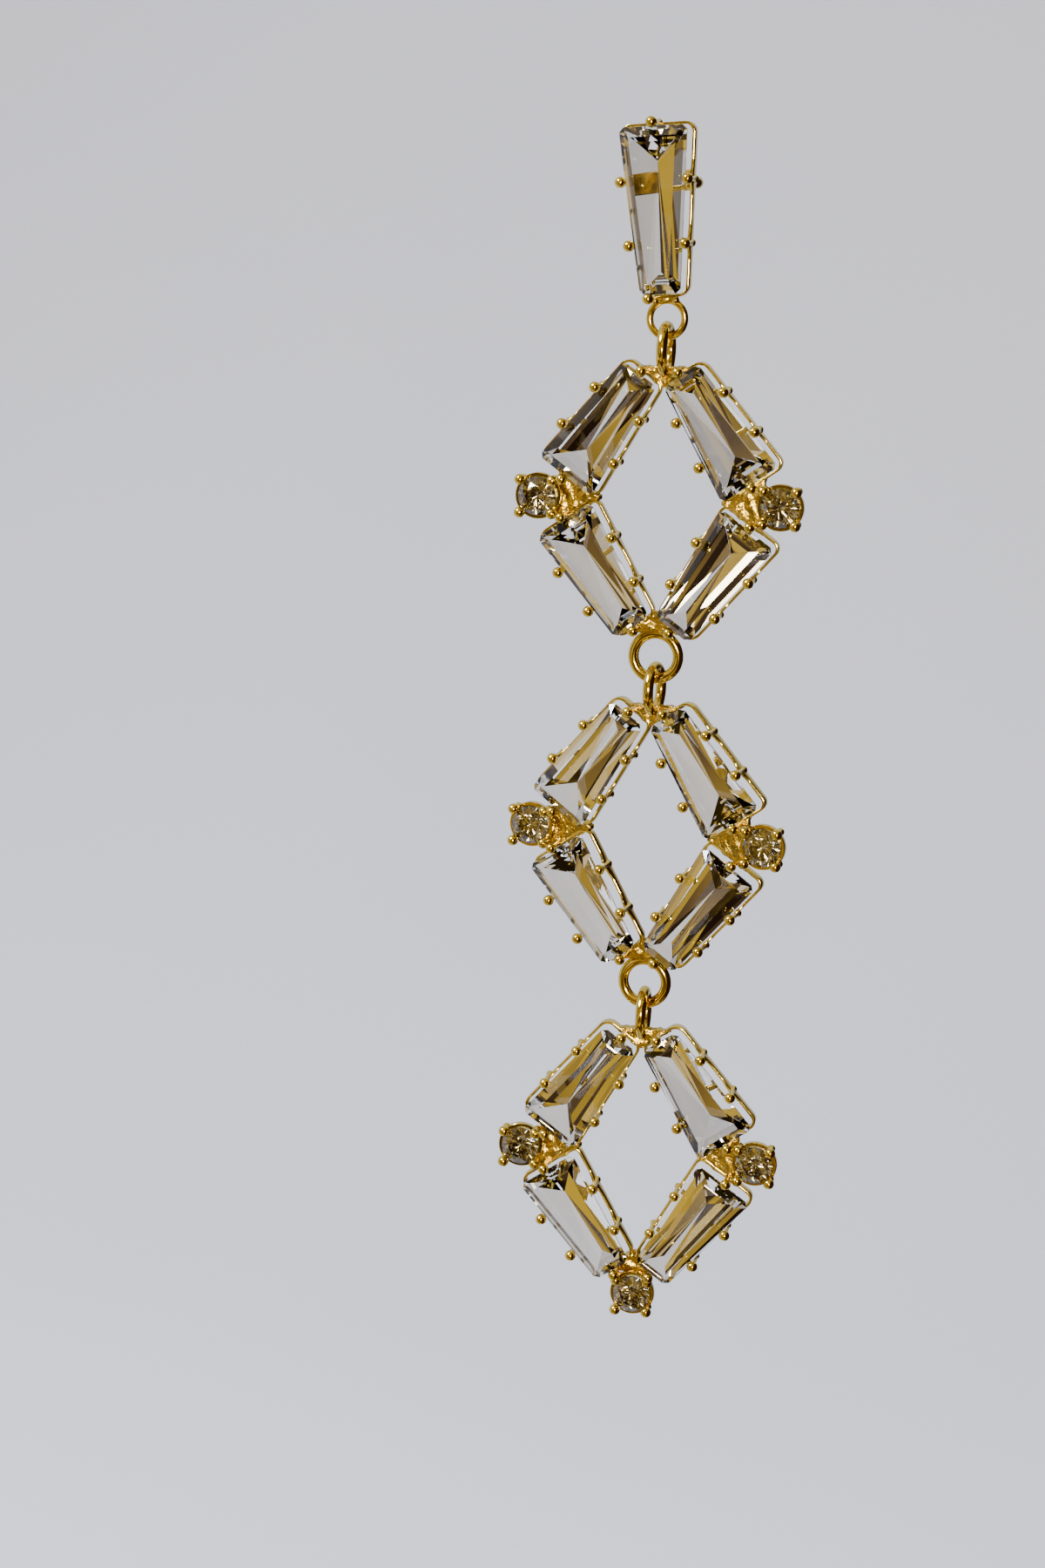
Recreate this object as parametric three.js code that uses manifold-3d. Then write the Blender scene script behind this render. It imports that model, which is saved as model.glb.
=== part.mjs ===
// A chandelier drop earring. A tapered baguette on an ear post carries three lozenges, hung below one another on
// soldered rings. Each lozenge is four tapered baguettes in claw settings, with a round brilliant at each side.
// Millimetres, +Z up and -Y to the front. The origin is where the ear post leaves the back of the stud.
import * as THREE from 'three';
import { ConvexGeometry } from 'three/addons/geometries/ConvexGeometry.js';
import { mergeVertices } from 'three/addons/utils/BufferGeometryUtils.js';
import Module from 'manifold-3d';

const wasm = await Module();
wasm.setup();

// Tapered baguettes, measured across the girdle. Two pavilion steps lead to a keel that slopes with the taper.
const studStoneLength = 10.2;
const studStoneNarrow = 2.55;
const studStoneWide = 4.35;
const stoneLength = 8.05;
const stoneNarrow = 2.6;
const stoneWide = 4.2;
const girdleThickness = 0.14;
const cornerCut = 0.3;
const crownHeight = 0.45;
const crownInset = 0.62;
const upperStepDepth = 0.42;
const lowerStepDepth = 0.38;
const pavilionStepInset = 0.45;
const keelSlope = 39;

// Round brilliants. The table and the star points are shares of the girdle's radius.
const roundDiameter = 2.5;
const roundGirdle = 0.1;
const roundCrown = 0.42;
const roundPavilion = 1.05;
const roundTableShare = 0.56;
const roundGirdleSides = 16;

// Claw settings. A claw is a straight wire with a ball on its tip, clear of the stone all round.
const clawWire = 0.34;
const clawBall = 0.72;
const clawSides = 6;
const stoneClearance = 0.06;
const sideClawSpacing = 3.1;
const studSideClawSpacing = 3.88;
const sideClawsTowardsNarrowEnd = 0.125;
const studEndClawToTheLeft = 0.7;
const rimWall = 0.18;
const rimHeight = 0.8;
const rimCorner = 0.7;
const settingDepth = 2;

// Cups of the round brilliants, and how far the girdle lies behind the baguettes' girdle.
const cupSetback = 0.4;
const cupLip = 0.25;
const cupBandHeight = 0.45;
const cupBaseOuter = 2.1;
const cupBaseInner = 1.2;
const cupSides = 12;

// How the four baguettes of a lozenge stand: their lean, and the gaps between neighbouring stones.
const baguetteLean = 35.2;
const tipGap = 0.44;
const sideGap = 0.38;
const sideCupReach = 1.88;
const lastCupDrop = 1.72;

// Solder webs fill the corners between the settings and reach into the ring or cup that they carry.
const webOverlap = 0.3;
const hangWebOverlap = 0.75;
const webInset = 0.06;

// Rings, by outer diameter and wire. A hang ring stands edge-on, a carrier ring lies flat.
const ringOuter = 3.6;
const ringWire = 0.68;
const studRingOuter = 2.7;
const studRingWire = 0.45;
const hangRingRise = 1.47;
const carrierRingDrop = 2.02;
const studRingDrop = 1.54;
const ringGap = 0.1;
const ringSides = 16;
const ringWireSides = 6;

// The ear post and the plate that it is soldered to.
const postDiameter = 0.8;
const postLength = 9.6;
const postNeck = 0.56;
const postNeckFromTip = 1.9;
const postNeckLength = 0.6;
const postSides = 12;
const postAboveStoneCentre = 1.77;
const plateWidth = 4;
const plateHeight = 1.3;
const plateThickness = 0.45;

// How the earring hangs: the stud turned a little on its post, and each lozenge's turn about the vertical.
const studLean = 4.6;
const lozengeTurns = [1.9, -3.3, 5.6];

const degree = Math.PI / 180;
const lean = baguetteLean * degree;
const ringPlane = rimHeight / 2 - settingDepth;
const backPlane = -settingDepth - plateThickness;
const ringRadius = (ringOuter - ringWire) / 2;
const studRingRadius = (studRingOuter - studRingWire) / 2;
const studStone = { length: studStoneLength, narrow: studStoneNarrow, wide: studStoneWide };
const lozengeStone = { length: stoneLength, narrow: stoneNarrow, wide: stoneWide };

// Gives a closed geometry as a solid that can be joined with others.
function solid(geometry) {
  const bare = geometry.clone();
  bare.deleteAttribute('normal');
  bare.deleteAttribute('uv');
  const merged = mergeVertices(bare, 1e-5);
  const index = merged.index.array;
  const triangles = [];
  for (let i = 0; i < index.length; i += 3) {
    const [a, b, c] = [index[i], index[i + 1], index[i + 2]];
    if (a !== b && b !== c && c !== a) {
      triangles.push(a, b, c);
    }
  }
  return new wasm.Manifold(new wasm.Mesh({
    numProp: 3,
    vertProperties: new Float32Array(merged.attributes.position.array),
    triVerts: new Uint32Array(triangles),
  }));
}

// Joins geometries into one, as solder does.
function soldered(geometries) {
  const joined = geometries.map(solid).reduce((whole, piece) => whole.add(piece));
  const mesh = joined.getMesh();
  const geometry = new THREE.BufferGeometry();
  geometry.setAttribute('position', new THREE.BufferAttribute(new Float32Array(mesh.vertProperties), 3));
  geometry.setIndex(new THREE.BufferAttribute(new Uint32Array(mesh.triVerts), 1));
  return geometry;
}

// Half the width of a tapered stone at a place along it, with a margin added all round.
function halfWidth(stone, along, margin = 0) {
  const taper = (stone.wide - stone.narrow) / 2 / stone.length;
  const middle = (stone.wide + stone.narrow) / 4;
  return middle + taper * along + margin * Math.hypot(1, taper);
}

// The four corners of a tapered stone's outline with a margin, anticlockwise from the narrow end.
function corners(stone, margin) {
  const end = stone.length / 2 + margin;
  const narrow = halfWidth(stone, -end, margin);
  const wide = halfWidth(stone, end, margin);
  return [
    new THREE.Vector2(-narrow, -end),
    new THREE.Vector2(narrow, -end),
    new THREE.Vector2(wide, end),
    new THREE.Vector2(-wide, end),
  ];
}

// The eight corners of the girdle, where each corner of the outline is cut off.
function girdleCorners(stone) {
  const outline = corners(stone, 0);
  return outline.flatMap((corner, i) => {
    const before = outline[(i + outline.length - 1) % outline.length];
    const after = outline[(i + 1) % outline.length];
    return [before, after].map((next) => corner.clone().add(next.clone().sub(corner).setLength(cornerCut)));
  });
}

// A step-cut tapered baguette: table, crown, girdle, two pavilion steps, and a keel with hipped ends.
function baguette(stone) {
  const girdleTop = girdleThickness / 2;
  const keelInset = 2 * pavilionStepInset;
  const keelStart = girdleTop + upperStepDepth + lowerStepDepth;
  const levels = [
    [girdleTop + crownHeight, corners(stone, -crownInset)],
    [girdleTop, girdleCorners(stone)],
    [-girdleTop, girdleCorners(stone)],
    [-girdleTop - upperStepDepth, corners(stone, -pavilionStepInset)],
    [-keelStart, corners(stone, -keelInset)],
  ];
  const points = levels.flatMap(([height, outline]) => (
    outline.map((corner) => new THREE.Vector3(corner.x, corner.y, height))
  ));
  const end = stone.length / 2 - keelInset;
  for (const side of [-1, 1]) {
    const half = halfWidth(stone, side * end, -keelInset);
    points.push(new THREE.Vector3(0, side * (end - half), -keelStart - half * Math.tan(keelSlope * degree)));
  }
  return new ConvexGeometry(points);
}

// A round brilliant: an eight-sided table, kite and girdle facets, and a pointed pavilion.
function brilliant() {
  const radius = roundDiameter / 2;
  const points = [];
  const addRing = (count, share, height, turn) => {
    for (let i = 0; i < count; i += 1) {
      const angle = ((i + turn) / count) * 2 * Math.PI;
      points.push(new THREE.Vector3(
        share * radius * Math.cos(angle),
        share * radius * Math.sin(angle),
        height,
      ));
    }
  };
  addRing(8, roundTableShare, roundGirdle / 2 + roundCrown, 0.5);
  addRing(roundGirdleSides, 1, roundGirdle / 2, 0);
  addRing(roundGirdleSides, 1, -roundGirdle / 2, 0);
  points.push(new THREE.Vector3(0, 0, -roundGirdle / 2 - roundPavilion));
  return new ConvexGeometry(points);
}

// A closed outline with its corners rounded off.
function roundedOutline(path, points, corner) {
  points.forEach((point, i) => {
    const before = points[(i + points.length - 1) % points.length];
    const after = points[(i + 1) % points.length];
    const start = point.clone().add(before.clone().sub(point).setLength(corner));
    const end = point.clone().add(after.clone().sub(point).setLength(corner));
    if (i === 0) {
      path.moveTo(start.x, start.y);
    } else {
      path.lineTo(start.x, start.y);
    }
    path.quadraticCurveTo(point.x, point.y, end.x, end.y);
  });
  path.closePath();
  return path;
}

// How far a claw's middle stands out from the edge of the stone that it holds.
const clawReach = clawWire / 2 + stoneClearance;

// The base of a claw setting: an open strip that follows the stone's outline behind it.
function rim(stone) {
  const shape = roundedOutline(new THREE.Shape(), corners(stone, clawReach), rimCorner);
  const inner = corners(stone, clawReach - rimWall);
  shape.holes.push(roundedOutline(new THREE.Path(), inner, rimCorner - rimWall));
  const geometry = new THREE.ExtrudeGeometry(shape, { depth: rimHeight, bevelEnabled: false, curveSegments: 3 });
  return geometry.translate(0, 0, -settingDepth);
}

// The height at which a claw's ball clears a crown of the given girdle, height and inset.
function ballHeight(girdle, height, inset) {
  const slope = Math.hypot(height, inset);
  return girdle / 2 + ((clawBall / 2 + stoneClearance) * slope - clawReach * height) / inset;
}

// The outline of a claw's ball as shares of its radius: out from the wire's axis, and up from the ball's middle.
const ballOutline = [
  { out: clawWire / clawBall, up: -0.8 },
  { out: 1, up: 0 },
  { out: 0.62, up: 0.78 },
  { out: 0, up: 1 },
];

// A claw from its foot to the ball on its tip, standing along Z.
function claw(foot, ball) {
  const radius = clawBall / 2;
  const profile = [
    [0, foot],
    [clawWire / 2, foot],
    ...ballOutline.map(({ out, up }) => [out * radius, ball + up * radius]),
  ].map(([r, h]) => new THREE.Vector2(r, h));
  return new THREE.LatheGeometry(profile, clawSides).rotateX(Math.PI / 2);
}

// A claw setting for a tapered baguette, with two claws on each side and one at each end.
function baguetteSetting(stone, spacing, narrowEndToTheLeft = 0) {
  const ball = ballHeight(girdleThickness, crownHeight, crownInset);
  const foot = ringPlane;
  const end = stone.length / 2 + clawReach;
  const pieces = [rim(stone)];
  for (const side of [-1, 1]) {
    const along = (side * spacing) / 2 - sideClawsTowardsNarrowEnd;
    const out = halfWidth(stone, along) + clawReach;
    pieces.push(claw(foot, ball).translate(out, along, 0));
    pieces.push(claw(foot, ball).translate(-out, along, 0));
  }
  pieces.push(claw(foot, ball).translate(-narrowEndToTheLeft, -end, 0));
  pieces.push(claw(foot, ball).translate(0, end, 0));
  return pieces;
}

const cupRadius = roundDiameter / 2 + clawReach;

// A cup for a round brilliant: a band on a tapered base, with four claws on the diagonals.
function cup() {
  const lip = -cupSetback - roundGirdle / 2 - stoneClearance * 2;
  const profile = [
    [cupBaseInner / 2, -settingDepth],
    [cupBaseOuter / 2, -settingDepth],
    [cupRadius, lip - cupBandHeight],
    [cupRadius, lip],
    [cupRadius - cupLip, lip],
    [cupBaseInner / 2, -settingDepth],
  ].map(([r, h]) => new THREE.Vector2(r, h));
  const pieces = [new THREE.LatheGeometry(profile, cupSides).rotateX(Math.PI / 2)];
  const inset = (1 - roundTableShare) * (roundDiameter / 2);
  const ball = ballHeight(roundGirdle, roundCrown, inset) - cupSetback;
  for (let i = 0; i < 4; i += 1) {
    const angle = (i + 0.5) * (Math.PI / 2);
    const x = cupRadius * Math.cos(angle);
    const y = cupRadius * Math.sin(angle);
    pieces.push(claw(lip - cupBandHeight, ball).translate(x, y, 0));
  }
  return pieces;
}

// A ring of round wire about the Y axis.
function ring(radius, wire) {
  const profile = [];
  for (let i = 0; i <= ringWireSides; i += 1) {
    const angle = (i % ringWireSides / ringWireSides) * 2 * Math.PI;
    profile.push(new THREE.Vector2(radius + (wire / 2) * Math.cos(angle), (wire / 2) * Math.sin(angle)));
  }
  return new THREE.LatheGeometry(profile, ringSides);
}

function flatRing(radius, wire) {
  return ring(radius, wire).rotateX(Math.PI / 2).translate(0, 0, ringPlane);
}

function edgeOnRing(radius, wire) {
  return ring(radius, wire).rotateZ(Math.PI / 2).translate(0, 0, ringPlane);
}

// A triangular web of solder from a point on the Y axis up to a height, with sides of a given slope.
function web(point, height, slope) {
  const half = (height - point) * slope;
  const shape = new THREE.Shape([
    new THREE.Vector2(0, point),
    new THREE.Vector2(half, height),
    new THREE.Vector2(-half, height),
  ]);
  const depth = rimHeight - 2 * webInset;
  const geometry = new THREE.ExtrudeGeometry(shape, { depth, bevelEnabled: false });
  return geometry.translate(0, 0, webInset - settingDepth);
}

// A lozenge's layout: where the upper right baguette's middle is, and the places that follow from it.
const stoneX = tipGap / 2 + (Math.sin(lean) * stoneLength + Math.cos(lean) * stoneNarrow) / 2;
const stoneY = sideGap / 2 + (Math.cos(lean) * stoneLength + Math.sin(lean) * stoneWide) / 2;
const tipHeight = stoneY + (Math.cos(lean) * stoneLength) / 2;
const sideReach = stoneX + (Math.sin(lean) * stoneLength) / 2;
const hangRingHeight = tipHeight + hangRingRise;
const carrierRingHeight = tipHeight + carrierRingDrop;
const lastCupHeight = tipHeight + lastCupDrop;
const sideCupX = sideReach + sideCupReach;
const places = [
  { name: 'upper_left', x: -stoneX, y: stoneY, turn: Math.PI - lean },
  { name: 'upper_right', x: stoneX, y: stoneY, turn: lean - Math.PI },
  { name: 'lower_left', x: -stoneX, y: -stoneY, turn: lean },
  { name: 'lower_right', x: stoneX, y: -stoneY, turn: -lean },
];

// The four settings, the webs in their corners, the side cups, and what hangs the lozenge and hangs from it.
function lozengeFrame(last) {
  const pieces = [];
  for (const place of places) {
    for (const piece of baguetteSetting(lozengeStone, sideClawSpacing)) {
      pieces.push(piece.rotateZ(place.turn).translate(place.x, place.y, 0));
    }
  }
  const tipPoint = tipHeight - stoneX * Math.tan(lean) + (Math.sin(lean) * stoneLength * Math.tan(lean)) / 2;
  const sidePoint = sideReach - (stoneY - (Math.cos(lean) * stoneLength) / 2) / Math.tan(lean);
  const tipSlope = 1 / Math.tan(lean);
  const hangWeb = hangRingHeight - ringOuter / 2 + hangWebOverlap;
  const lastReach = last ? lastCupHeight - cupRadius : carrierRingHeight - ringOuter / 2;
  const sideWeb = sideCupX - cupRadius + webOverlap;
  pieces.push(web(tipPoint, hangWeb, tipSlope));
  pieces.push(web(tipPoint, lastReach + webOverlap, tipSlope).rotateZ(Math.PI));
  pieces.push(web(sidePoint, sideWeb, Math.tan(lean)).rotateZ(Math.PI / 2));
  pieces.push(web(sidePoint, sideWeb, Math.tan(lean)).rotateZ(-Math.PI / 2));
  pieces.push(edgeOnRing(ringRadius, ringWire).translate(0, hangRingHeight, 0));
  for (const piece of cup()) {
    pieces.push(piece.clone().translate(sideCupX, 0, 0));
    pieces.push(piece.clone().translate(-sideCupX, 0, 0));
    if (last) {
      pieces.push(piece.translate(0, -lastCupHeight, 0));
    }
  }
  if (!last) {
    pieces.push(flatRing(ringRadius, ringWire).translate(0, -carrierRingHeight, 0));
  }
  return soldered(pieces);
}

// The ear post, from inside the plate to its rounded tip, with the neck that a friction nut grips.
function earPost() {
  const radius = postDiameter / 2;
  const neck = postLength - postNeckFromTip;
  const profile = [
    [0, -plateThickness / 2],
    [radius, -plateThickness / 2],
    [radius, neck - postNeckLength / 2 - radius / 2],
    [postNeck / 2, neck - postNeckLength / 2],
    [postNeck / 2, neck + postNeckLength / 2],
    [radius, neck + postNeckLength / 2 + radius / 2],
    [radius, postLength - radius],
    [radius * Math.SQRT1_2, postLength - radius * (1 - Math.SQRT1_2)],
    [0, postLength],
  ].map(([r, h]) => new THREE.Vector2(r, h));
  return new THREE.LatheGeometry(profile, postSides).rotateX(-Math.PI / 2).translate(0, 0, backPlane);
}

const studRingY = -postAboveStoneCentre - studStoneLength / 2 - studRingDrop;

// The top setting with its ring below, its back plate and the ear post.
function studSetting() {
  const pieces = baguetteSetting(studStone, studSideClawSpacing, studEndClawToTheLeft);
  pieces.forEach((piece) => piece.translate(0, -postAboveStoneCentre, 0));
  const plate = new THREE.BoxGeometry(plateWidth, plateHeight, plateThickness + webInset);
  pieces.push(plate.translate(0, 0, backPlane + (plateThickness + webInset) / 2));
  pieces.push(earPost());
  pieces.push(flatRing(studRingRadius, studRingWire).translate(0, studRingY, 0));
  const bridgeHeight = studRingDrop - studRingRadius;
  const bridge = new THREE.BoxGeometry(studRingOuter / 2, bridgeHeight, rimHeight - 2 * webInset);
  pieces.push(bridge.translate(0, studRingY + studRingRadius + bridgeHeight / 2, ringPlane));
  return soldered(pieces);
}

function goldMaterial() {
  return new THREE.MeshStandardMaterial({ color: 0xd3a94e, roughness: 0.18, metalness: 1 });
}

function crystalMaterial() {
  return new THREE.MeshStandardMaterial({
    color: 0xeae6dc,
    roughness: 0.03,
    metalness: 0,
    transparent: true,
    opacity: 0.45,
  });
}

function addPiece(group, name, geometry, material) {
  const mesh = new THREE.Mesh(geometry, material);
  mesh.name = name;
  group.add(mesh);
  return mesh;
}

// A group whose X runs to the right, Y up and Z to the front. Its depth given here comes to lie on world Y = 0.
function faceGroup(depth) {
  const face = new THREE.Group();
  face.rotation.x = Math.PI / 2;
  face.position.y = depth;
  return face;
}

function buildStud() {
  const stud = new THREE.Group();
  stud.rotation.y = -studLean * degree;
  const face = faceGroup(backPlane);
  addPiece(face, 'stud_setting', studSetting(), goldMaterial());
  const stone = addPiece(face, 'stud_baguette', baguette(studStone), crystalMaterial());
  stone.position.y = -postAboveStoneCentre;
  stud.add(face);
  return stud;
}

function buildLozenge(number, last) {
  const lozenge = new THREE.Group();
  const face = faceGroup(ringPlane);
  const label = `lozenge_${number}`;
  addPiece(face, `${label}_frame`, lozengeFrame(last), goldMaterial());
  for (const place of places) {
    const stone = addPiece(face, `${label}_baguette_${place.name}`, baguette(lozengeStone), crystalMaterial());
    stone.position.set(place.x, place.y, 0);
    stone.rotation.z = place.turn;
  }
  const rounds = [['left', -sideCupX, 0], ['right', sideCupX, 0]];
  if (last) {
    rounds.push(['bottom', 0, -lastCupHeight]);
  }
  for (const [side, x, y] of rounds) {
    const stone = addPiece(face, `${label}_round_${side}`, brilliant(), crystalMaterial());
    stone.position.set(x, y, -cupSetback);
  }
  lozenge.add(face);
  return lozenge;
}

// Hangs the lozenges below one another. Each hang ring's top rests over the bottom of the ring above it.
const earring = new THREE.Group();
earring.add(buildStud());
const chainX = -studRingY * Math.sin(studLean * degree);
const chainY = backPlane - ringPlane;
let seat = studRingY * Math.cos(studLean * degree) - studRingRadius;
let seatWire = studRingWire;
lozengeTurns.forEach((turn, i) => {
  const lozenge = buildLozenge(i + 1, i === lozengeTurns.length - 1);
  const ringCentre = seat + (seatWire + ringWire) / 2 + ringGap - ringRadius;
  const centre = ringCentre - hangRingHeight;
  lozenge.position.set(chainX, chainY, centre);
  lozenge.rotation.z = turn * degree;
  earring.add(lozenge);
  seat = centre - carrierRingHeight - ringRadius;
  seatWire = ringWire;
});

export default earring;
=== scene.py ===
from math import cos, hypot, pi, radians, sin, tan

import bmesh
import bpy
from mathutils import Matrix, Vector


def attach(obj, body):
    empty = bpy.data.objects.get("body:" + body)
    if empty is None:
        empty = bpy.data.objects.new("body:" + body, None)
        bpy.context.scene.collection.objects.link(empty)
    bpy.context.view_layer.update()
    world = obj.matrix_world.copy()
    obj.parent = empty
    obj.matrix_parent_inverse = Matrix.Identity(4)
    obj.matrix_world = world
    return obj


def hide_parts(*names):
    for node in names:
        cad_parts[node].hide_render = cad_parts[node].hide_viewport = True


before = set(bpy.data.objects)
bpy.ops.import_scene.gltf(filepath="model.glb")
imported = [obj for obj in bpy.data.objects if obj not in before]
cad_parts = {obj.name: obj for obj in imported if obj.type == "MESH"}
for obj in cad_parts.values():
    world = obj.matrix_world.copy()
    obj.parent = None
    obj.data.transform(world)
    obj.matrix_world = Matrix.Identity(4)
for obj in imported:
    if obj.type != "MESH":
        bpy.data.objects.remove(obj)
bpy.ops.object.select_all(action="DESELECT")
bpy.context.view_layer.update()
mm = 0.001
print("stage: packed model loaded,", len(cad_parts), "nodes")


# Modelling helpers. Everything is drawn flat on the face of a link: x to the right, y up, z to the front.

def edit():
    bpy.ops.object.mode_set(mode="EDIT")


def leaveEdit():
    bpy.ops.mesh.select_all(action="SELECT")
    bpy.ops.mesh.remove_doubles(threshold=0.002 * mm)
    bpy.ops.mesh.normals_make_consistent(inside=False)
    bpy.ops.object.mode_set(mode="OBJECT")
    return bpy.context.active_object


# Selects the vertices, edges or faces that pass a test
def pick(kind, test):
    bpy.ops.mesh.select_mode(type=kind)
    bpy.ops.mesh.select_all(action="DESELECT")
    data = bpy.context.edit_object.data
    drawn = bmesh.from_edit_mesh(data)
    parts = {"VERT": drawn.verts, "EDGE": drawn.edges, "FACE": drawn.faces}[kind]
    for part in parts:
        part.select_set(test(part))
    drawn.select_flush_mode()
    bmesh.update_edit_mesh(data)


def move(x, y, z):
    bpy.ops.transform.translate(value=(x * mm, y * mm, z * mm))


def extrude(z):
    bpy.ops.mesh.extrude_region_move(TRANSFORM_OT_translate={"value": (0, 0, z * mm)})


# Extrudes the selected end through rings of (radius, height), as a turned part
def turnThrough(rings):
    radius, height = rings[0]
    for nextRadius, nextHeight in rings[1:]:
        extrude(nextHeight - height)
        share = nextRadius / radius
        bpy.ops.transform.resize(value=(share, share, 1), center_override=(0, 0, nextHeight * mm))
        radius, height = nextRadius, nextHeight


def modify(piece, kind, **settings):
    modifier = piece.modifiers.new(kind.lower(), kind)
    for name, value in settings.items():
        setattr(modifier, name, value)
    bpy.context.view_layer.objects.active = piece
    bpy.ops.object.modifier_apply(modifier=modifier.name)


def smooth(piece, angle):
    bpy.ops.object.select_all(action="DESELECT")
    piece.select_set(True)
    bpy.context.view_layer.objects.active = piece
    bpy.ops.object.shade_smooth_by_angle(angle=radians(angle))
    piece.select_set(False)
    return piece


# A copy with its own mesh, put in its place
def copyOf(piece, matrix, name="copy"):
    copy = piece.copy()
    copy.data = piece.data.copy()
    copy.name = name
    bpy.context.collection.objects.link(copy)
    copy.data.transform(matrix)
    return copy


def join(pieces, name):
    bpy.ops.object.select_all(action="DESELECT")
    for piece in pieces:
        piece.select_set(True)
    bpy.context.view_layer.objects.active = pieces[0]
    bpy.ops.object.join()
    joined = bpy.context.active_object
    joined.name = name
    joined.select_set(False)
    return joined


def discard(*pieces):
    for piece in pieces:
        bpy.data.objects.remove(piece)


def shift(x, y, z=0):
    return Matrix.Translation((x * mm, y * mm, z * mm))


def turn(angle, axis="Z"):
    return Matrix.Rotation(angle, 4, axis)


# Camera, as the photograph was taken: from the right and a little above
view = {"place": (42.78, -178.02, -0.26), "heading": 15.99, "down": 11.82, "roll": -1.43, "lens": 66}


def addCamera():
    down, roll = radians(view["down"]), radians(view["roll"])
    level = Vector((1, 0, 0))
    above = Vector((0, sin(down), cos(down)))
    ahead = Vector((0, cos(down), -sin(down)))
    right = level * cos(roll) - above * sin(roll)
    up = level * sin(roll) + above * cos(roll)
    columns = Matrix((right, up, -ahead)).transposed()
    facing = Matrix.Rotation(radians(view["heading"]), 3, "Z") @ columns
    bpy.ops.object.camera_add(location=Vector(view["place"]) * mm, rotation=facing.to_euler())
    camera = bpy.context.active_object
    camera.data.lens = view["lens"]
    camera.data.sensor_width = 36
    camera.data.clip_start = 0.005
    bpy.context.scene.camera = camera


addCamera()
print("stage: camera")


# Materials

def linear(hexColour, alpha=1.0):
    values = [int(hexColour[i:i + 2], 16) / 255 for i in (1, 3, 5)]
    return tuple(v / 12.92 if v <= 0.04045 else ((v + 0.055) / 1.055) ** 2.4 for v in values) + (alpha,)


def addNode(tree, kind, values=None, links=None, **settings):
    node = tree.nodes.new(kind)
    for name, value in settings.items():
        setattr(node, name, value)
    for socket, value in (values or {}).items():
        node.inputs[socket].default_value = value
    for socket, source in (links or {}).items():
        tree.links.new(source, node.inputs[socket])
    return node


def newMaterial(name):
    material = bpy.data.materials.new(name)
    material.use_nodes = True
    tree = material.node_tree
    place = addNode(tree, "ShaderNodeTexCoord").outputs["Object"]
    return material, tree, tree.nodes["Principled BSDF"], place


goldPlate = {
    "bright": "#F8DF6E", "deep": "#DDB944", "tonePatch": 1.6,
    "polishMark": 0.12, "polishDepth": 0.006, "polishStrength": 0.35, "roughness": (0.07, 0.2),
}


# Gold-plated brass, tumble polished: warm yellow mirrors with faint waves left by the polishing
def goldPlatedBrass():
    material, tree, shader, place = newMaterial("gold_plated_brass")
    smoothest, roughest = goldPlate["roughness"]
    tones = addNode(tree, "ShaderNodeTexNoise", {"Scale": 1 / (goldPlate["tonePatch"] * mm), "Detail": 2},
                    {"Vector": place})
    colour = addNode(tree, "ShaderNodeMix",
                     {"A": linear(goldPlate["deep"]), "B": linear(goldPlate["bright"])},
                     {"Factor": tones.outputs["Fac"]}, data_type="RGBA")
    marks = addNode(tree, "ShaderNodeTexNoise", {"Scale": 1 / (goldPlate["polishMark"] * mm), "Detail": 3},
                    {"Vector": place})
    rough = addNode(tree, "ShaderNodeMapRange", {"To Min": smoothest, "To Max": roughest},
                    {"Value": marks.outputs["Fac"]})
    bump = addNode(tree, "ShaderNodeBump",
                   {"Strength": goldPlate["polishStrength"], "Distance": goldPlate["polishDepth"] * mm},
                   {"Height": marks.outputs["Fac"]})
    shader.inputs["Metallic"].default_value = 1
    tree.links.new(colour.outputs["Result"], shader.inputs["Base Color"])
    tree.links.new(rough.outputs["Result"], shader.inputs["Roughness"])
    tree.links.new(bump.outputs["Normal"], shader.inputs["Normal"])
    return material


solder = {
    "bright": "#F4D968", "deep": "#CFA83E",
    "grain": 0.22, "grainDepth": 0.05, "grainStrength": 0.8, "distortion": 0.6, "roughness": (0.1, 0.28),
}


# Gold-plated solder, left as it set: the same plating over fine pits and beads
def goldPlatedSolder():
    material, tree, shader, place = newMaterial("gold_plated_solder")
    smoothest, roughest = solder["roughness"]
    grain = addNode(tree, "ShaderNodeTexNoise",
                    {"Scale": 1 / (solder["grain"] * mm), "Detail": 3, "Distortion": solder["distortion"]},
                    {"Vector": place})
    colour = addNode(tree, "ShaderNodeMix", {"A": linear(solder["deep"]), "B": linear(solder["bright"])},
                     {"Factor": grain.outputs["Fac"]}, data_type="RGBA")
    rough = addNode(tree, "ShaderNodeMapRange", {"To Min": smoothest, "To Max": roughest},
                    {"Value": grain.outputs["Fac"]})
    bump = addNode(tree, "ShaderNodeBump",
                   {"Strength": solder["grainStrength"], "Distance": solder["grainDepth"] * mm},
                   {"Height": grain.outputs["Fac"]})
    shader.inputs["Metallic"].default_value = 1
    tree.links.new(colour.outputs["Result"], shader.inputs["Base Color"])
    tree.links.new(rough.outputs["Result"], shader.inputs["Roughness"])
    tree.links.new(bump.outputs["Normal"], shader.inputs["Normal"])
    return material


stoneLooks = {
    "crystal_glass": {"clear": "#FDFDFB", "warm": "#F6F1E4", "ior": 1.72},
    "cubic_zirconia": {"clear": "#CFC9B4", "warm": "#B2A88A", "ior": 2.15},
}
stoneSurface = {"tintPatch": 2.5, "smear": 0.6, "smearStart": 0.45, "smearFull": 0.8, "smearRoughness": 0.015}


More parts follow.
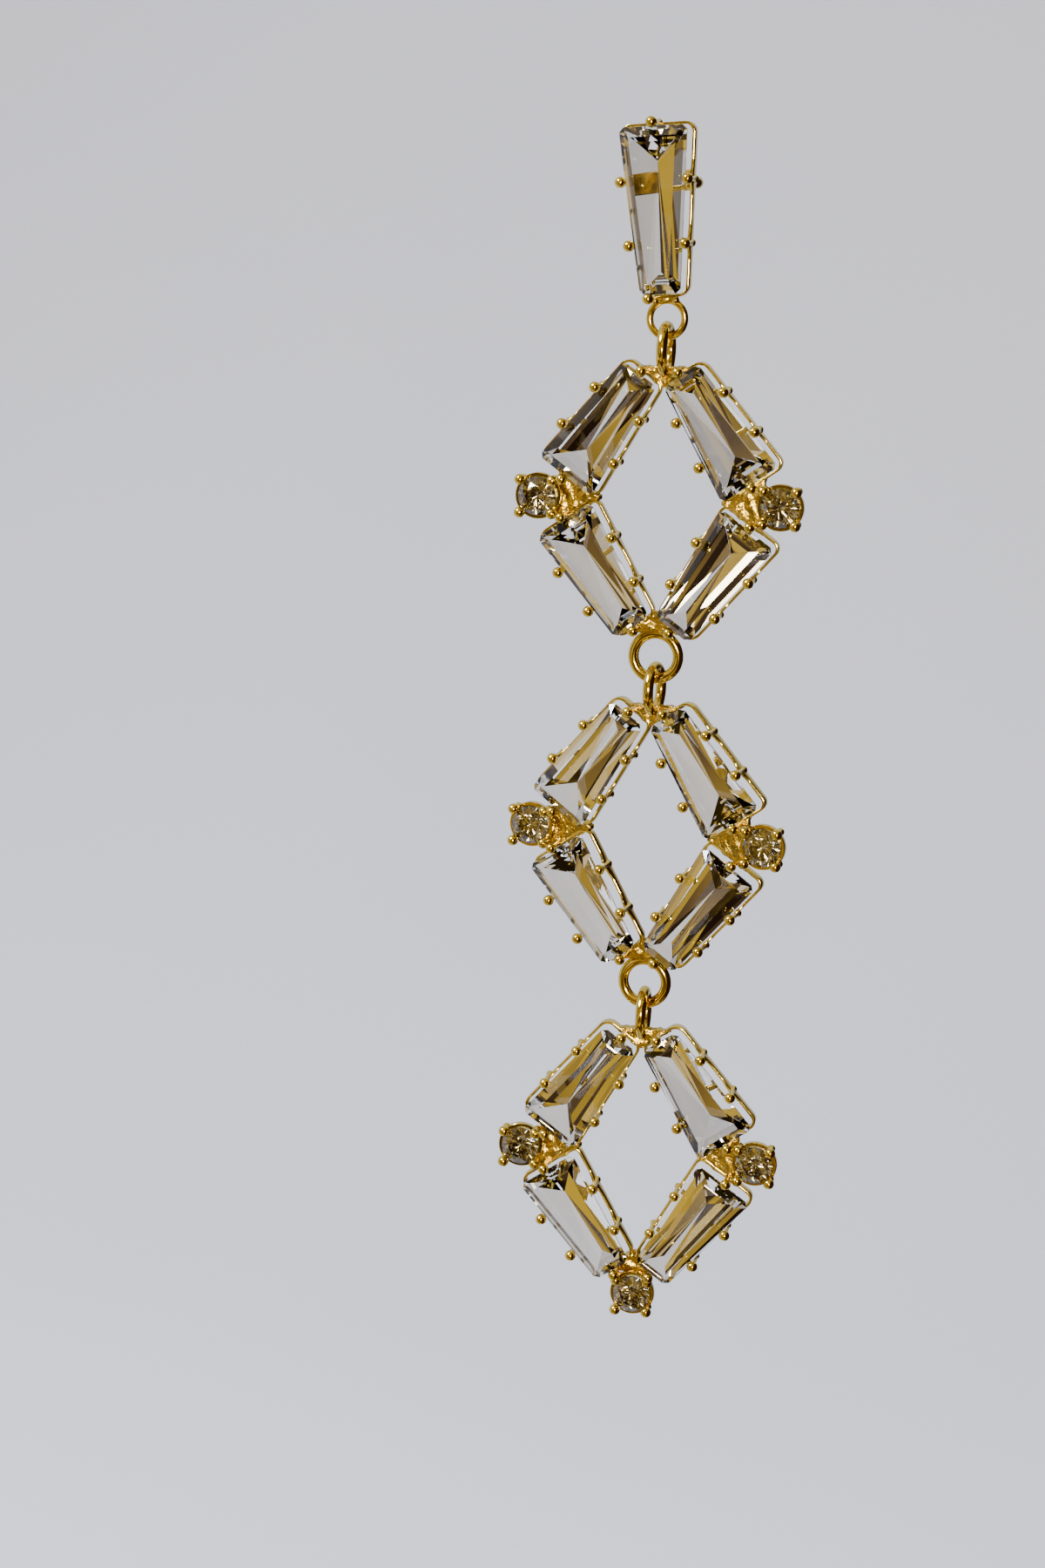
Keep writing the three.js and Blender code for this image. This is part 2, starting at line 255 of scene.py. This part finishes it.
# Cut and lapped stones: crystal glass lets the light through at the edges, and cubic zirconia sparkles
# dark and bright. Both carry a breath of handling smears on their facets
def cutStone(name):
    look = stoneLooks[name]
    material, tree, shader, place = newMaterial(name)
    tint = addNode(tree, "ShaderNodeTexNoise", {"Scale": 1 / (stoneSurface["tintPatch"] * mm)},
                   {"Vector": place})
    colour = addNode(tree, "ShaderNodeMix", {"A": linear(look["clear"]), "B": linear(look["warm"])},
                     {"Factor": tint.outputs["Fac"]}, data_type="RGBA")
    smears = addNode(tree, "ShaderNodeTexNoise", {"Scale": 1 / (stoneSurface["smear"] * mm), "Detail": 4},
                     {"Vector": place})
    rough = addNode(tree, "ShaderNodeMapRange",
                    {"From Min": stoneSurface["smearStart"], "From Max": stoneSurface["smearFull"],
                     "To Min": 0.0, "To Max": stoneSurface["smearRoughness"]},
                    {"Value": smears.outputs["Fac"]})
    shader.inputs["Transmission Weight"].default_value = 1
    shader.inputs["IOR"].default_value = look["ior"]
    tree.links.new(colour.outputs["Result"], shader.inputs["Base Color"])
    tree.links.new(rough.outputs["Result"], shader.inputs["Roughness"])
    return material


gold = goldPlatedBrass()
solderGold = goldPlatedSolder()
crystalGlass = cutStone("crystal_glass")
cubicZirconia = cutStone("cubic_zirconia")
print("stage: materials")


# Stones. Sizes in millimetres, across the girdle
studStone = {"length": 10.2, "narrow": 2.55, "wide": 4.35}
lozengeStone = {"length": 8.05, "narrow": 2.6, "wide": 4.2}
stepCut = {
    "girdle": 0.14, "corner": 0.3, "crown": (0.62, 0.45),
    "pavilion": [(0.45, 0.42), (0.45, 0.38)], "keelSlope": 39,
}


def halfWidth(stone, along, margin=0.0):
    taper = (stone["wide"] - stone["narrow"]) / 2 / stone["length"]
    return (stone["wide"] + stone["narrow"]) / 4 + taper * along + margin * hypot(1, taper)


# A flat tapered plate, wide end up, with its corners cut off where a cut is given
def taperedPlate(stone, margin, height, cut=0, segments=1):
    end = stone["length"] / 2 + margin
    wide = halfWidth(stone, end, margin)
    bpy.ops.object.select_all(action="DESELECT")
    bpy.ops.mesh.primitive_plane_add(size=2 * mm, location=(0, 0, height * mm))
    bpy.ops.object.transform_apply()
    edit()
    bpy.ops.transform.resize(value=(wide, end, 1), center_override=(0, 0, 0))
    pick("VERT", lambda v: v.co.y < 0)
    bpy.ops.transform.resize(value=(halfWidth(stone, -end, margin) / wide, 1, 1), center_override=(0, 0, 0))
    if cut:
        bpy.ops.mesh.select_all(action="SELECT")
        bpy.ops.mesh.bevel(offset=cut * mm, segments=segments, affect="VERTICES")
    bpy.ops.object.mode_set(mode="OBJECT")
    return bpy.context.active_object


# A step-cut tapered baguette: the hull of its table, girdle and pavilion steps, down to a keel with
# hipped ends
def makeBaguette(stone):
    girdle = stepCut["girdle"] / 2
    inset, rise = stepCut["crown"]
    plates = [taperedPlate(stone, -inset, girdle + rise)]
    plates += [taperedPlate(stone, 0, height, stepCut["corner"]) for height in (girdle, -girdle)]
    inward, lowest = 0, -girdle
    for inset, drop in stepCut["pavilion"]:
        inward += inset
        lowest -= drop
        plates.append(taperedPlate(stone, -inward, lowest))
    keel = taperedPlate(stone, -inward, lowest)
    edit()
    for sign in (1, -1):
        pick("VERT", lambda v: v.co.y * sign > 0)
        halfEnd = halfWidth(stone, sign * (stone["length"] / 2 - inward), -inward)
        bpy.ops.mesh.merge(type="CENTER")
        move(0, -sign * halfEnd, -halfEnd * tan(radians(stepCut["keelSlope"])))
    bpy.ops.object.mode_set(mode="OBJECT")
    join(plates + [keel], "baguette")
    edit()
    bpy.ops.mesh.select_all(action="SELECT")
    bpy.ops.mesh.convex_hull()
    return leaveEdit()


roundStone = {
    "diameter": 2.5, "girdle": 0.1, "crown": 0.42, "pavilion": 1.05,
    "table": 0.56, "star": 0.78, "lower": 0.24, "culet": 0.012,
}


# A round brilliant: table, star, kite and girdle facets over pavilion mains and halves
def makeBrilliant():
    radius = roundStone["diameter"] / 2
    girdle = roundStone["girdle"] / 2
    table, star, lower = (roundStone[k] for k in ("table", "star", "lower"))
    half = cos(pi / 8)
    starHeight = girdle + roundStone["crown"] * (1 - star * half) / (1 - table)
    lowerDepth = -girdle - roundStone["pavilion"] * (1 - lower * half)
    rings = [
        (8, table * radius, girdle + roundStone["crown"], 0),
        (8, star * radius, starHeight, pi / 8),
        (16, radius, girdle, 0),
        (16, radius, -girdle, 0),
        (8, lower * radius, lowerDepth, pi / 8),
        (8, roundStone["culet"], -girdle - roundStone["pavilion"], 0),
    ]
    circles = []
    for sides, size, height, start in rings:
        bpy.ops.object.select_all(action="DESELECT")
        bpy.ops.mesh.primitive_circle_add(vertices=sides, radius=size * mm, location=(0, 0, height * mm),
                                          rotation=(0, 0, start))
        bpy.ops.object.transform_apply()
        circles.append(bpy.context.active_object)
    join(circles, "brilliant")
    edit()
    bpy.ops.mesh.select_all(action="SELECT")
    bpy.ops.mesh.convex_hull()
    return leaveEdit()


print("stage: stones")


# Metalwork shared by the stud and the lozenges
clawShape = {"wire": 0.34, "ball": 0.72, "reach": 0.23, "neck": 1.25, "foot": -1.6, "sides": 16}
rimShape = {
    "wall": 0.18, "height": 0.8, "bottom": -2.0, "corner": 0.7, "edge": 0.05,
    "root": 0.3, "rootWidth": 0.6, "cuts": {"long": 23, "short": 7},
}


# A claw wire that swells into a drop on its tip, and is flared where it is soldered on
def makeClaw(foot, ball):
    wire, radius = clawShape["wire"] / 2, clawShape["ball"] / 2
    neck = clawShape["neck"] * radius
    rings = [(wire * 1.5, foot), (wire * 1.15, foot + 0.12), (wire, foot + 0.3)]
    for i in range(6):  # the neck swells from the wire's radius to the ball's
        rings.append((wire + (radius - wire) * (0.5 - 0.5 * cos(pi * i / 6)), ball - neck * (1 - i / 6)))
    for i in range(6):  # the ball's upper half
        rings.append((radius * cos(pi / 12 * i), ball + radius * sin(pi / 12 * i)))
    bpy.ops.object.select_all(action="DESELECT")
    bpy.ops.mesh.primitive_circle_add(vertices=clawShape["sides"], radius=rings[0][0] * mm, fill_type="NGON",
                                      location=(0, 0, foot * mm))
    bpy.ops.object.transform_apply()
    edit()
    bpy.ops.mesh.select_all(action="SELECT")
    turnThrough(rings)
    return smooth(leaveEdit(), 50)


# The open strip behind a stone. It rises into a root at each claw and dips between them
def makeRim(stone, clawsAlong):
    taperedPlate(stone, clawShape["reach"], rimShape["bottom"], rimShape["corner"], 6)
    edit()
    for side, cuts in rimShape["cuts"].items():  # the rounded corners are left as they are
        pick("EDGE", lambda e: e.calc_length() > 0.8 * mm
             and (abs(e.verts[0].co.y - e.verts[1].co.y) > 3 * mm) == (side == "long"))
        bpy.ops.mesh.subdivide(number_cuts=cuts)
    bpy.ops.mesh.select_mode(type="FACE")
    bpy.ops.mesh.select_all(action="SELECT")
    bpy.ops.mesh.inset(thickness=rimShape["wall"] * mm)
    bpy.ops.mesh.delete(type="FACE")
    bpy.ops.mesh.select_all(action="SELECT")
    extrude(rimShape["height"])
    top = (rimShape["bottom"] + rimShape["height"]) * mm
    for along in clawsAlong:
        for reach in (rimShape["rootWidth"], rimShape["rootWidth"] / 2):
            pick("VERT", lambda v: v.co.z > top - 0.05 * mm and abs(v.co.y - along * mm) < reach * mm)
            move(0, 0, rimShape["root"] / 2)
    rim = leaveEdit()
    modify(rim, "BEVEL", width=rimShape["edge"] * mm, segments=2, limit_method="ANGLE",
           angle_limit=radians(50))
    return smooth(rim, 40)


# A ring of round wire in the face plane
def makeRing(outer, wire):
    bpy.ops.object.select_all(action="DESELECT")
    bpy.ops.mesh.primitive_torus_add(major_radius=(outer - wire) / 2 * mm, minor_radius=wire / 2 * mm,
                                     major_segments=64, minor_segments=20)
    ring = bpy.context.active_object
    return smooth(ring, 60)


def clawPlaces(stone, claws):
    reach = clawShape["reach"]
    end = stone["length"] / 2 + reach
    places = []
    for along in claws["along"]:
        places += [(side * (halfWidth(stone, along) + reach), along) for side in (-1, 1)]
    return places + [(claws["narrowEnd"], -end), (0, end)]


# Lozenges
layout = {
    "x": 3.602, "y": 4.690, "lean": 35.2,
    "sideCup": 7.803, "hangRing": 9.449, "carrierRing": 9.999, "lastCup": 9.699,
}
lozengeClaws = {"along": (-1.675, 1.425), "narrowEnd": 0, "ball": 0.422}
cupShape = {
    "setback": 0.4, "radius": 1.48, "lip": 0.25, "lipBelow": 0.12, "band": 0.45, "soft": 0.04,
    "baseOuter": 1.05, "baseInner": 0.6, "ball": 0.003,
}
ringShape = {"outer": 3.6, "wire": 0.68, "plane": -1.6}
webShape = {
    "thickness": 0.68, "bottom": -1.94, "edge": 0.1, "cuts": 14,
    "lump": 0.45, "lumpHeight": 0.3, "overlap": 0.3, "hangOverlap": 0.75,
}


# A cup for a round stone: a base that widens into a band, with four claws on the diagonals
def makeCup():
    lip = -cupShape["setback"] - roundStone["girdle"] / 2 - cupShape["lipBelow"]
    shoulder = lip - cupShape["band"]
    bottom, radius, soft = rimShape["bottom"], cupShape["radius"], cupShape["soft"]
    mouth = radius - cupShape["lip"]
    outside = [(cupShape["baseOuter"], bottom), (radius - soft, shoulder - 0.05), (radius, shoulder + 0.05),
               (radius, lip - soft), (radius - soft, lip)]
    inside = [(mouth + soft, lip), (mouth, lip - soft), (cupShape["baseInner"], bottom)]
    bpy.ops.object.select_all(action="DESELECT")
    bpy.ops.mesh.primitive_circle_add(vertices=48, radius=outside[0][0] * mm, fill_type="NOTHING",
                                      location=(0, 0, bottom * mm))
    bpy.ops.object.transform_apply()
    edit()
    bpy.ops.mesh.select_all(action="SELECT")
    rings = outside + inside + [outside[0]]
    radius, height = rings[0]
    for nextRadius, nextHeight in rings[1:]:
        bpy.ops.mesh.extrude_edges_move(TRANSFORM_OT_translate={"value": (0, 0, (nextHeight - height) * mm)})
        share = nextRadius / radius
        bpy.ops.transform.resize(value=(share, share, 1), center_override=(0, 0, nextHeight * mm))
        radius, height = nextRadius, nextHeight
    band = smooth(leaveEdit(), 40)
    claw = makeClaw(shoulder, cupShape["ball"])
    claws = [copyOf(claw, turn((i + 0.5) * pi / 2) @ shift(cupShape["radius"], 0)) for i in range(4)]
    discard(claw)
    return join([band] + claws, "cup")


# Rounds a piece of solder off and raises the lumps that it set in
def lumpy(piece):
    lumps = bpy.data.textures.new("solder_lumps", "CLOUDS")
    lumps.noise_scale = webShape["lump"] * mm
    lumps.noise_depth = 1
    modify(piece, "BEVEL", width=webShape["edge"] * mm, segments=2, limit_method="ANGLE",
           angle_limit=radians(40))
    modify(piece, "DISPLACE", texture=lumps, strength=webShape["lumpHeight"] * mm, mid_level=0.5)
    return smooth(piece, 60)


# A lumpy triangle of solder from a point on the y axis up to a height
def makeWeb(point, height, slope):
    half = (height - point) * slope
    bpy.ops.object.select_all(action="DESELECT")
    bpy.ops.mesh.primitive_plane_add(size=2 * mm, location=(0, 0, webShape["bottom"] * mm))
    bpy.ops.object.transform_apply()
    edit()
    bpy.ops.transform.resize(value=(half, (height - point) / 2, 1), center_override=(0, 0, 0))
    bpy.ops.transform.translate(value=(0, (height + point) / 2 * mm, 0))
    pick("VERT", lambda v: v.co.y < (height + point) / 2 * mm)
    bpy.ops.transform.resize(value=(0.04, 1, 1), center_override=(0, 0, 0))
    bpy.ops.mesh.select_all(action="SELECT")
    extrude(webShape["thickness"])
    bpy.ops.mesh.select_all(action="SELECT")
    bpy.ops.mesh.subdivide(number_cuts=webShape["cuts"])
    return lumpy(leaveEdit())


def lozengePlaces():
    lean = radians(layout["lean"])
    x, y = layout["x"], layout["y"]
    return {
        "upper_left": shift(-x, y) @ turn(pi - lean),
        "upper_right": shift(x, y) @ turn(lean - pi),
        "lower_left": shift(-x, -y) @ turn(lean),
        "lower_right": shift(x, -y) @ turn(-lean),
    }


def makeWebs(last):
    lean = radians(layout["lean"])
    length = lozengeStone["length"]
    x, y = layout["x"], layout["y"]
    tip = y + cos(lean) * length / 2
    side = x + sin(lean) * length / 2
    tipPoint = tip - x * tan(lean) + sin(lean) * length * tan(lean) / 2
    sidePoint = side - (y - cos(lean) * length / 2) / tan(lean)
    overlap = webShape["overlap"]
    hangTop = layout["hangRing"] - ringShape["outer"] / 2 + webShape["hangOverlap"]
    sideTop = layout["sideCup"] - cupShape["radius"] + overlap
    if last:
        carriedTop = layout["lastCup"] - cupShape["radius"] + overlap
    else:
        carriedTop = layout["carrierRing"] - ringShape["outer"] / 2 + overlap
    webs = []
    for point, height, slope, way in (
        (tipPoint, hangTop, 1 / tan(lean), 0),
        (tipPoint, carriedTop, 1 / tan(lean), pi),
        (sidePoint, sideTop, tan(lean), pi / 2),
        (sidePoint, sideTop, tan(lean), -pi / 2),
    ):
        web = makeWeb(point, height, slope)
        web.data.transform(turn(way))
        webs.append(web)
    return join(webs, "webs")


# The metal of one lozenge on its face, as pieces by name
def makeLozengeMetal(last):
    places = lozengePlaces()
    claw = makeClaw(clawShape["foot"], lozengeClaws["ball"])
    rim = makeRim(lozengeStone, lozengeClaws["along"])
    spots = clawPlaces(lozengeStone, lozengeClaws)
    claws = [copyOf(claw, place @ shift(*spot)) for place in places.values() for spot in spots]
    rims = [copyOf(rim, place) for place in places.values()]
    cup = makeCup()
    cups = [copyOf(cup, shift(side * layout["sideCup"], 0)) for side in (-1, 1)]
    ring = makeRing(ringShape["outer"], ringShape["wire"])
    plane = ringShape["plane"]
    rings = [copyOf(ring, shift(0, layout["hangRing"], plane) @ turn(pi / 2, "Y"))]
    if last:
        cups.append(copyOf(cup, shift(0, -layout["lastCup"])))
    else:
        rings.append(copyOf(ring, shift(0, -layout["carrierRing"], plane)))
    discard(claw, rim, cup, ring)
    return {
        "claws": join(claws, "claws"), "rims": join(rims, "rims"), "cups": join(cups, "cups"),
        "rings": join(rings, "rings"), "webs": makeWebs(last),
    }


# Where each lozenge hangs: its middle in the shared frame, and its turn about the vertical
hanging = {"x": 0.6745, "y": -0.85, "middles": (-19.7514, -41.3385, -62.9255), "turns": (1.9, -3.3, 5.6)}


def lozengeFace(number):
    place = Matrix.Translation(Vector((hanging["x"], hanging["y"], hanging["middles"][number - 1])) * mm)
    turned = turn(radians(hanging["turns"][number - 1]))
    return place @ turned @ Matrix.Translation((0, ringShape["plane"] * mm, 0)) @ turn(pi / 2, "X")


# Gives a finished piece its material and its body, and hides the CAD nodes that it stands for
def finishPiece(piece, name, body, material, nodes):
    piece.name = piece.data.name = name
    piece.data.materials.clear()
    piece.data.materials.append(material)
    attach(piece, body)
    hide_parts(*nodes)


baguetteCut = makeBaguette(lozengeStone)
brilliantCut = makeBrilliant()


def placeLozenge(number, metal):
    body = f"lozenge_{number}"
    face = lozengeFace(number)
    for part, piece in metal.items():
        material = solderGold if part == "webs" else gold
        finishPiece(copyOf(piece, face), f"{body}_{part}", body, material, [f"{body}_frame"])
    for corner, place in lozengePlaces().items():
        node = f"{body}_baguette_{corner}"
        cut = copyOf(baguetteCut, face @ place)
        finishPiece(cut, f"{node}_cut", body, crystalGlass, [node])
    rounds = {"left": (-layout["sideCup"], 0), "right": (layout["sideCup"], 0)}
    if number == 3:
        rounds["bottom"] = (0, -layout["lastCup"])
    for side, spot in rounds.items():
        node = f"{body}_round_{side}"
        cut = copyOf(brilliantCut, face @ shift(*spot, -cupShape["setback"]))
        finishPiece(cut, f"{node}_cut", body, cubicZirconia, [node])


for last, numbers in ((False, (1, 2)), (True, (3,))):
    metal = makeLozengeMetal(last)
    for number in numbers:
        placeLozenge(number, metal)
    discard(*metal.values())
print("stage: lozenges")


# Stud
studShape = {"stoneY": -1.77, "lean": 4.6, "back": -2.45, "ringY": -8.41, "ringOuter": 2.7, "ringWire": 0.45}
studClaws = {"along": (-2.065, 1.815), "narrowEnd": -0.7, "ball": 0.422}
plateShape = {"width": 4.0, "height": 1.3, "thickness": 0.51, "edge": 0.08}
bridgeBead = {"apart": 1.3, "radius": 0.24, "height": -1.3}
postShape = {"radius": 0.4, "length": 9.6, "neck": 0.28, "neckAt": 7.7, "neckLength": 0.6, "ease": 0.2}


def makePost():
    radius, length, neck, ease = (postShape[k] for k in ("radius", "length", "neck", "ease"))
    start = postShape["neckAt"] - postShape["neckLength"] / 2
    end = postShape["neckAt"] + postShape["neckLength"] / 2
    rings = [(radius * 1.35, 0), (radius * 1.1, 0.12), (radius, 0.3)]  # flared where it is soldered on
    rings += [(radius, start - ease), (neck, start), (neck, end), (radius, end + ease)]
    rings += [(radius, length - radius), (radius * 0.87, length - radius * 0.5)]
    rings += [(radius * 0.5, length - radius * 0.13), (radius * 0.1, length)]
    bpy.ops.object.select_all(action="DESELECT")
    bpy.ops.mesh.primitive_circle_add(vertices=32, radius=rings[0][0] * mm, fill_type="NGON")
    bpy.ops.object.transform_apply()
    edit()
    bpy.ops.mesh.select_all(action="SELECT")
    turnThrough(rings)
    post = smooth(leaveEdit(), 50)
    post.data.transform(shift(0, 0, studShape["back"]) @ turn(pi, "X"))
    return post


def makePlate():
    bpy.ops.object.select_all(action="DESELECT")
    depth = studShape["back"] + plateShape["thickness"] / 2
    bpy.ops.mesh.primitive_cube_add(size=mm, location=(0, 0, depth * mm))
    bpy.ops.transform.resize(value=(plateShape["width"], plateShape["height"], plateShape["thickness"]))
    bpy.ops.object.transform_apply()
    plate = bpy.context.active_object
    modify(plate, "BEVEL", width=plateShape["edge"] * mm, segments=3)
    return smooth(plate, 40)


# The solder between the setting and the ring, with a small bead at each end
def makeBridge():
    top = studShape["stoneY"] - studStone["length"] / 2
    bottom = studShape["ringY"] + (studShape["ringOuter"] - studShape["ringWire"]) / 2
    bpy.ops.object.select_all(action="DESELECT")
    bpy.ops.mesh.primitive_cube_add(size=mm)
    bpy.ops.object.transform_apply()
    edit()
    size = (studShape["ringOuter"] / 2, top - bottom, webShape["thickness"])
    bpy.ops.transform.resize(value=size, center_override=(0, 0, 0))
    move(0, (top + bottom) / 2, ringShape["plane"])
    bpy.ops.mesh.subdivide(number_cuts=7)
    pieces = [lumpy(leaveEdit())]
    for side in (-1, 1):
        bpy.ops.object.select_all(action="DESELECT")
        spot = (side * bridgeBead["apart"] / 2 * mm, bottom * mm, bridgeBead["height"] * mm)
        bpy.ops.mesh.primitive_uv_sphere_add(segments=16, ring_count=10, radius=bridgeBead["radius"] * mm,
                                             location=spot)
        bpy.ops.object.transform_apply()
        edit()
        bpy.ops.transform.resize(value=(1, 1, 1.25), center_override=spot)
        pieces.append(smooth(leaveEdit(), 60))
    return join(pieces, "bridge")


def buildStud():
    upright = Matrix.Translation((0, studShape["back"] * mm, 0)) @ turn(pi / 2, "X")
    face = turn(radians(-studShape["lean"]), "Y") @ upright
    onStone = shift(0, studShape["stoneY"])
    claw = makeClaw(clawShape["foot"], studClaws["ball"])
    claws = join([copyOf(claw, onStone @ shift(*spot)) for spot in clawPlaces(studStone, studClaws)], "claws")
    discard(claw)
    rim = makeRim(studStone, studClaws["along"])
    rim.data.transform(onStone)
    ring = makeRing(studShape["ringOuter"], studShape["ringWire"])
    ring.data.transform(shift(0, studShape["ringY"], ringShape["plane"]))
    pieces = {"claws": claws, "rim": rim, "ring": ring}
    pieces.update({"bridge": makeBridge(), "plate": makePlate(), "post": makePost()})
    for part, piece in pieces.items():
        piece.data.transform(face)
        material = solderGold if part == "bridge" else gold
        finishPiece(piece, f"stud_{part}", "stud", material, ["stud_setting"])
    stone = makeBaguette(studStone)
    stone.data.transform(face @ onStone)
    finishPiece(stone, "stud_baguette_cut", "stud", crystalGlass, ["stud_baguette"])


buildStud()
discard(baguetteCut, brilliantCut)
print("stage: stud")


# Studio: a pale floor that sweeps up into a backdrop, a soft key light and a warm room in front
studio = {
    "floor": -140, "front": -60, "back": 520, "height": 1400, "half": 1500, "curve": 380,
    "paper": "#E8EEFF", "paperLight": "#ECF1FF", "grain": 60, "roughness": 0.9, "specular": 0.1,
}


def addFloor():
    bpy.ops.object.select_all(action="DESELECT")
    bpy.ops.mesh.primitive_plane_add(size=2 * mm, location=(0, 0, studio["floor"] * mm))
    bpy.ops.object.transform_apply()
    edit()
    back, front = studio["back"], studio["front"]
    bpy.ops.transform.resize(value=(studio["half"], (back - front) / 2, 1), center_override=(0, 0, 0))
    move(0, (back + front) / 2, 0)
    pick("EDGE", lambda e: all(v.co.y > 0 for v in e.verts))
    bpy.ops.mesh.extrude_edges_move(TRANSFORM_OT_translate={"value": (0, 0, studio["height"] * mm)})
    pick("EDGE", lambda e: all(v.co.y > 0 and v.co.z < (studio["floor"] + 1) * mm for v in e.verts))
    bpy.ops.mesh.bevel(offset=studio["curve"] * mm, segments=32)
    bpy.ops.object.mode_set(mode="OBJECT")
    floor = smooth(bpy.context.active_object, 60)
    floor.name = "floor"
    material, tree, shader, place = newMaterial("matt_paper")
    grain = addNode(tree, "ShaderNodeTexNoise", {"Scale": 1 / (studio["grain"] * mm)}, {"Vector": place})
    colour = addNode(tree, "ShaderNodeMix",
                     {"A": linear(studio["paper"]), "B": linear(studio["paperLight"])},
                     {"Factor": grain.outputs["Fac"]}, data_type="RGBA")
    tree.links.new(colour.outputs["Result"], shader.inputs["Base Color"])
    shader.inputs["Roughness"].default_value = studio["roughness"]
    shader.inputs["Specular IOR Level"].default_value = studio["specular"]
    floor.data.materials.append(material)
    floor.visible_glossy = False  # the metal mirrors the room and not the paper


lights = {
    "key": {"place": (-260, -260, 330), "size": 160, "power": 5.6, "colour": "#EDF3FF"},
    "warm": {"place": (120, -400, 0), "size": 70, "power": 1.2, "colour": "#FFEBC8"},
}


def addLights():
    for name, light in lights.items():
        place = Vector(light["place"]) * mm
        aim = (Vector((0, 0, -35 * mm)) - place).to_track_quat("-Z", "Y").to_euler()
        bpy.ops.object.light_add(type="AREA", location=place, rotation=aim)
        lamp = bpy.context.active_object
        lamp.name = name
        lamp.data.size = light["size"] * mm
        lamp.data.energy = light["power"]
        lamp.data.color = linear(light["colour"])[:3]


room = {
    "wall": "#DDDFE6", "shade": "#2E1C10", "strength": 1.0,
    "tones": ((0.38, "#20140C"), (0.47, "#5E4A34"), (0.57, "#DCB438"), (0.7, "#FFF8EA")),  # dark to bright
    "front": (0.28, -0.94, 0.12), "frontEdge": (-0.1, 0.25),
    "shadeSide": (0.95, 0.18, -0.25), "shadeEdge": (0.22, 0.55),
    "pattern": 20.95, "patternScale": 3.0,
}


# Pale walls behind and on the left, patches of shade and warm lamplight in front, deep shade on the right
def addRoom():
    world = bpy.data.worlds.new("room")
    bpy.context.scene.world = world
    world.use_nodes = True
    tree = world.node_tree
    tree.nodes.clear()
    way = addNode(tree, "ShaderNodeTexCoord").outputs["Generated"]
    blur = addNode(tree, "ShaderNodeTexNoise",
                   {"W": room["pattern"], "Scale": room["patternScale"], "Detail": 2},
                   {"Vector": way}, noise_dimensions="4D")
    ramp = addNode(tree, "ShaderNodeValToRGB", links={"Fac": blur.outputs["Fac"]})
    stops = ramp.color_ramp.elements
    (darkest, darkTone), *between, (brightest, brightTone) = room["tones"]
    stops[0].position, stops[0].color = darkest, linear(darkTone)
    stops[1].position, stops[1].color = brightest, linear(brightTone)
    for level, tone in between:
        stops.new(level).color = linear(tone)
    zones = {}
    for side, edge in (("front", "frontEdge"), ("shadeSide", "shadeEdge")):
        towards = addNode(tree, "ShaderNodeVectorMath", {1: room[side]}, {0: way}, operation="DOT_PRODUCT")
        start, full = room[edge]
        zones[side] = addNode(tree, "ShaderNodeMapRange", {"From Min": start, "From Max": full},
                              {"Value": towards.outputs["Value"]}).outputs["Result"]
    walls = addNode(tree, "ShaderNodeMix", {"A": linear(room["wall"])},
                    {"Factor": zones["front"], "B": ramp.outputs["Color"]}, data_type="RGBA")
    around = addNode(tree, "ShaderNodeMix", {"B": linear(room["shade"])},
                     {"Factor": zones["shadeSide"], "A": walls.outputs["Result"]}, data_type="RGBA")
    seen = addNode(tree, "ShaderNodeLightPath").outputs["Is Camera Ray"]
    shown = addNode(tree, "ShaderNodeMix", {"B": linear(room["wall"])},
                    {"Factor": seen, "A": around.outputs["Result"]}, data_type="RGBA")
    background = addNode(tree, "ShaderNodeBackground", {"Strength": room["strength"]},
                         {"Color": shown.outputs["Result"]})
    addNode(tree, "ShaderNodeOutputWorld", links={"Surface": background.outputs["Background"]})


addFloor()
addLights()
addRoom()
print("stage: studio")
